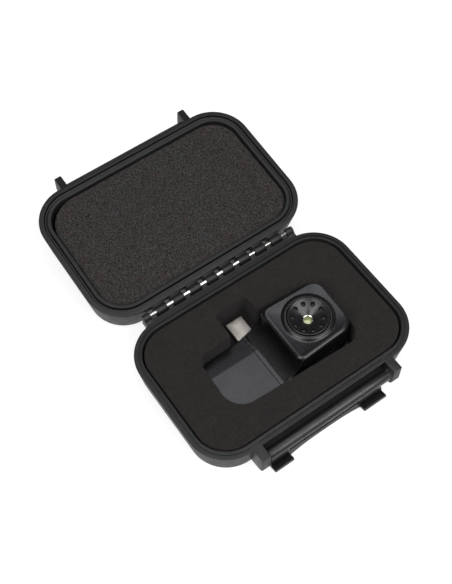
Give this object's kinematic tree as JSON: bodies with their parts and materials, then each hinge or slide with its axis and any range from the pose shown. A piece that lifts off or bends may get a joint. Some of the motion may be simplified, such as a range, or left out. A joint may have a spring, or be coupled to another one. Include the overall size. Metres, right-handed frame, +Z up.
{
  "type": "plug-in thermal camera in a hard case",
  "caption": "Small phone plug-in thermal camera with a focus ring and a USB plug, seated in the foam of its open hinged hard case with a front latch.",
  "frame": {"origin": "centre of the flat bottom face of the case's base", "axes": "+Z up through the open case, +X along the lid's hinge, +Y towards the hinge and the opened lid"},
  "size_m": [0.09, 0.1362, 0.02],
  "materials": {
    "case_plastic": "satin moulded, fine texture",
    "base_foam": "fine closed-cell foam",
    "lid_foam": "coarse open-cell foam",
    "gasket_rubber": "satin",
    "seal_rubber": "matte",
    "pin_steel": "bright",
    "screw_steel": "bright",
    "cover_plastic": "satin",
    "ring_plastic": "satin",
    "lens_metal": "black anodised",
    "lens_glass": "coated infrared lens, polished",
    "window_glass": "polished",
    "board": "solder mask",
    "chip": "moulded epoxy",
    "connector_plastic": "moulded",
    "plated_sheet": "nickel plated",
    "plug_nickel": "nickel plated, satin",
    "contact_brass": "gold plated"
  },
  "bodies": {
    "root": {"base_shell": "case_plastic", "base_foam": "base_foam", "base_foam_sheet": "base_foam", "hinge_pin": "pin_steel", "latch_pin": "pin_steel", "front_cover": "cover_plastic", "back_cover": "cover_plastic", "cover_screw_1": "screw_steel", "cover_screw_2": "screw_steel", "cover_screw_3": "screw_steel", "cover_screw_4": "screw_steel", "lens_bezel": "ring_plastic", "focus_seal": "seal_rubber", "lens_mount": "lens_metal", "sensor_board": "board", "sensor_package": "plated_sheet", "sensor_window": "window_glass", "shutter_frame": "plated_sheet", "shutter_motor": "chip", "main_board": "board", "processor": "chip", "thermal_pad": "seal_rubber", "memory_chip": "chip", "power_inductor": "chip", "board_socket": "connector_plastic", "board_header": "connector_plastic", "shield_can": "plated_sheet", "plug_shell": "plug_nickel", "plug_tongue": "connector_plastic", "plug_contacts": "contact_brass"},
    "lid": {"lid_shell": "case_plastic", "lid_gasket": "gasket_rubber", "lid_foam": "lid_foam"},
    "latch": {"latch": "case_plastic"},
    "focus_ring": {"focus_ring": "ring_plastic"},
    "lens": {"lens_cell": "lens_metal", "lens_retainer": "lens_metal", "front_lens": "lens_glass", "lens_spacer": "lens_metal", "rear_lens": "lens_glass"},
    "shutter": {"shutter_flag": "plated_sheet"}
  },
  "joints": [
    {"name": "lid_hinge", "type": "hinge", "parent": "root", "child": "lid", "pos_m": [0, 0.03215, 0.01275], "axis": [1, 0, 0], "range_deg": [0, 174]},
    {"name": "latch_hinge", "type": "hinge", "parent": "root", "child": "latch", "pos_m": [0, -0.0327, 0.009], "axis": [1, 0, 0], "range_deg": [-162, 0]},
    {"name": "focus_turn", "type": "hinge", "parent": "root", "child": "focus_ring", "pos_m": [0.0139, -0.002, 0.014], "axis": [0, 0, 1], "range_deg": [0, 270]},
    {"name": "focus_travel", "type": "slide", "parent": "root", "child": "lens", "axis": [0, 0, -1], "range_m": [0, 0.0006]},
    {"name": "shutter_swing", "type": "hinge", "parent": "root", "child": "shutter", "pos_m": [0.0211, -0.002, 0.0085], "axis": [0, 0, 1], "range_deg": [0, 46]}
  ],
  "couplings": [
    {"joint": "focus_turn", "follows": "focus_travel", "rad_per_m": 7853.9}
  ]
}
